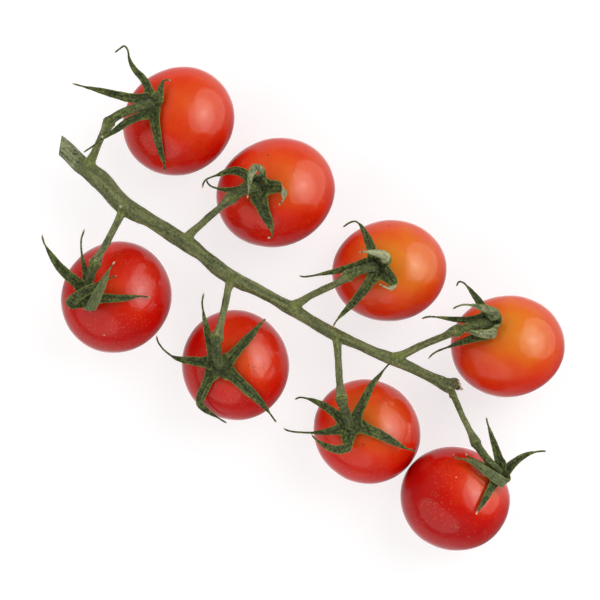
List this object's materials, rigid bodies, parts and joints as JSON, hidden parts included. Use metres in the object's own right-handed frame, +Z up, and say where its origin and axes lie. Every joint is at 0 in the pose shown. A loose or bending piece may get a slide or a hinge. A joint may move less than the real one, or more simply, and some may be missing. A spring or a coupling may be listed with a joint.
{
  "type": "truss of cherry tomatoes",
  "caption": "Cut truss of ripe red cherry tomatoes lying on a surface, joined by short stalks with green star-shaped calyces to one branching stem.",
  "frame": {"origin": "centre of the truss's bounding box, on the surface that the fruits rest on", "axes": "+X along the main stem, from its cut end to its broken tip; +Z up, away from the surface; +Y across, to the side of the first four fruits"},
  "size_m": [0.159, 0.0791, 0.0357],
  "materials": {
    "stem_green": "matt, finely hairy green stem",
    "calyx_green": "matt, finely hairy green leaf",
    "ripe_skin": "smooth, glossy ripe tomato skin"
  },
  "bodies": {
    "root": {"stem": "stem_green", "calyx_1": "calyx_green", "calyx_2": "calyx_green", "calyx_3": "calyx_green", "calyx_4": "calyx_green", "calyx_5": "calyx_green", "calyx_6": "calyx_green", "calyx_7": "calyx_green", "calyx_8": "calyx_green", "tomato_1": "ripe_skin", "tomato_2": "ripe_skin", "tomato_3": "ripe_skin", "tomato_4": "ripe_skin", "tomato_5": "ripe_skin", "tomato_6": "ripe_skin", "tomato_7": "ripe_skin", "tomato_8": "ripe_skin"}
  },
  "joints": []
}
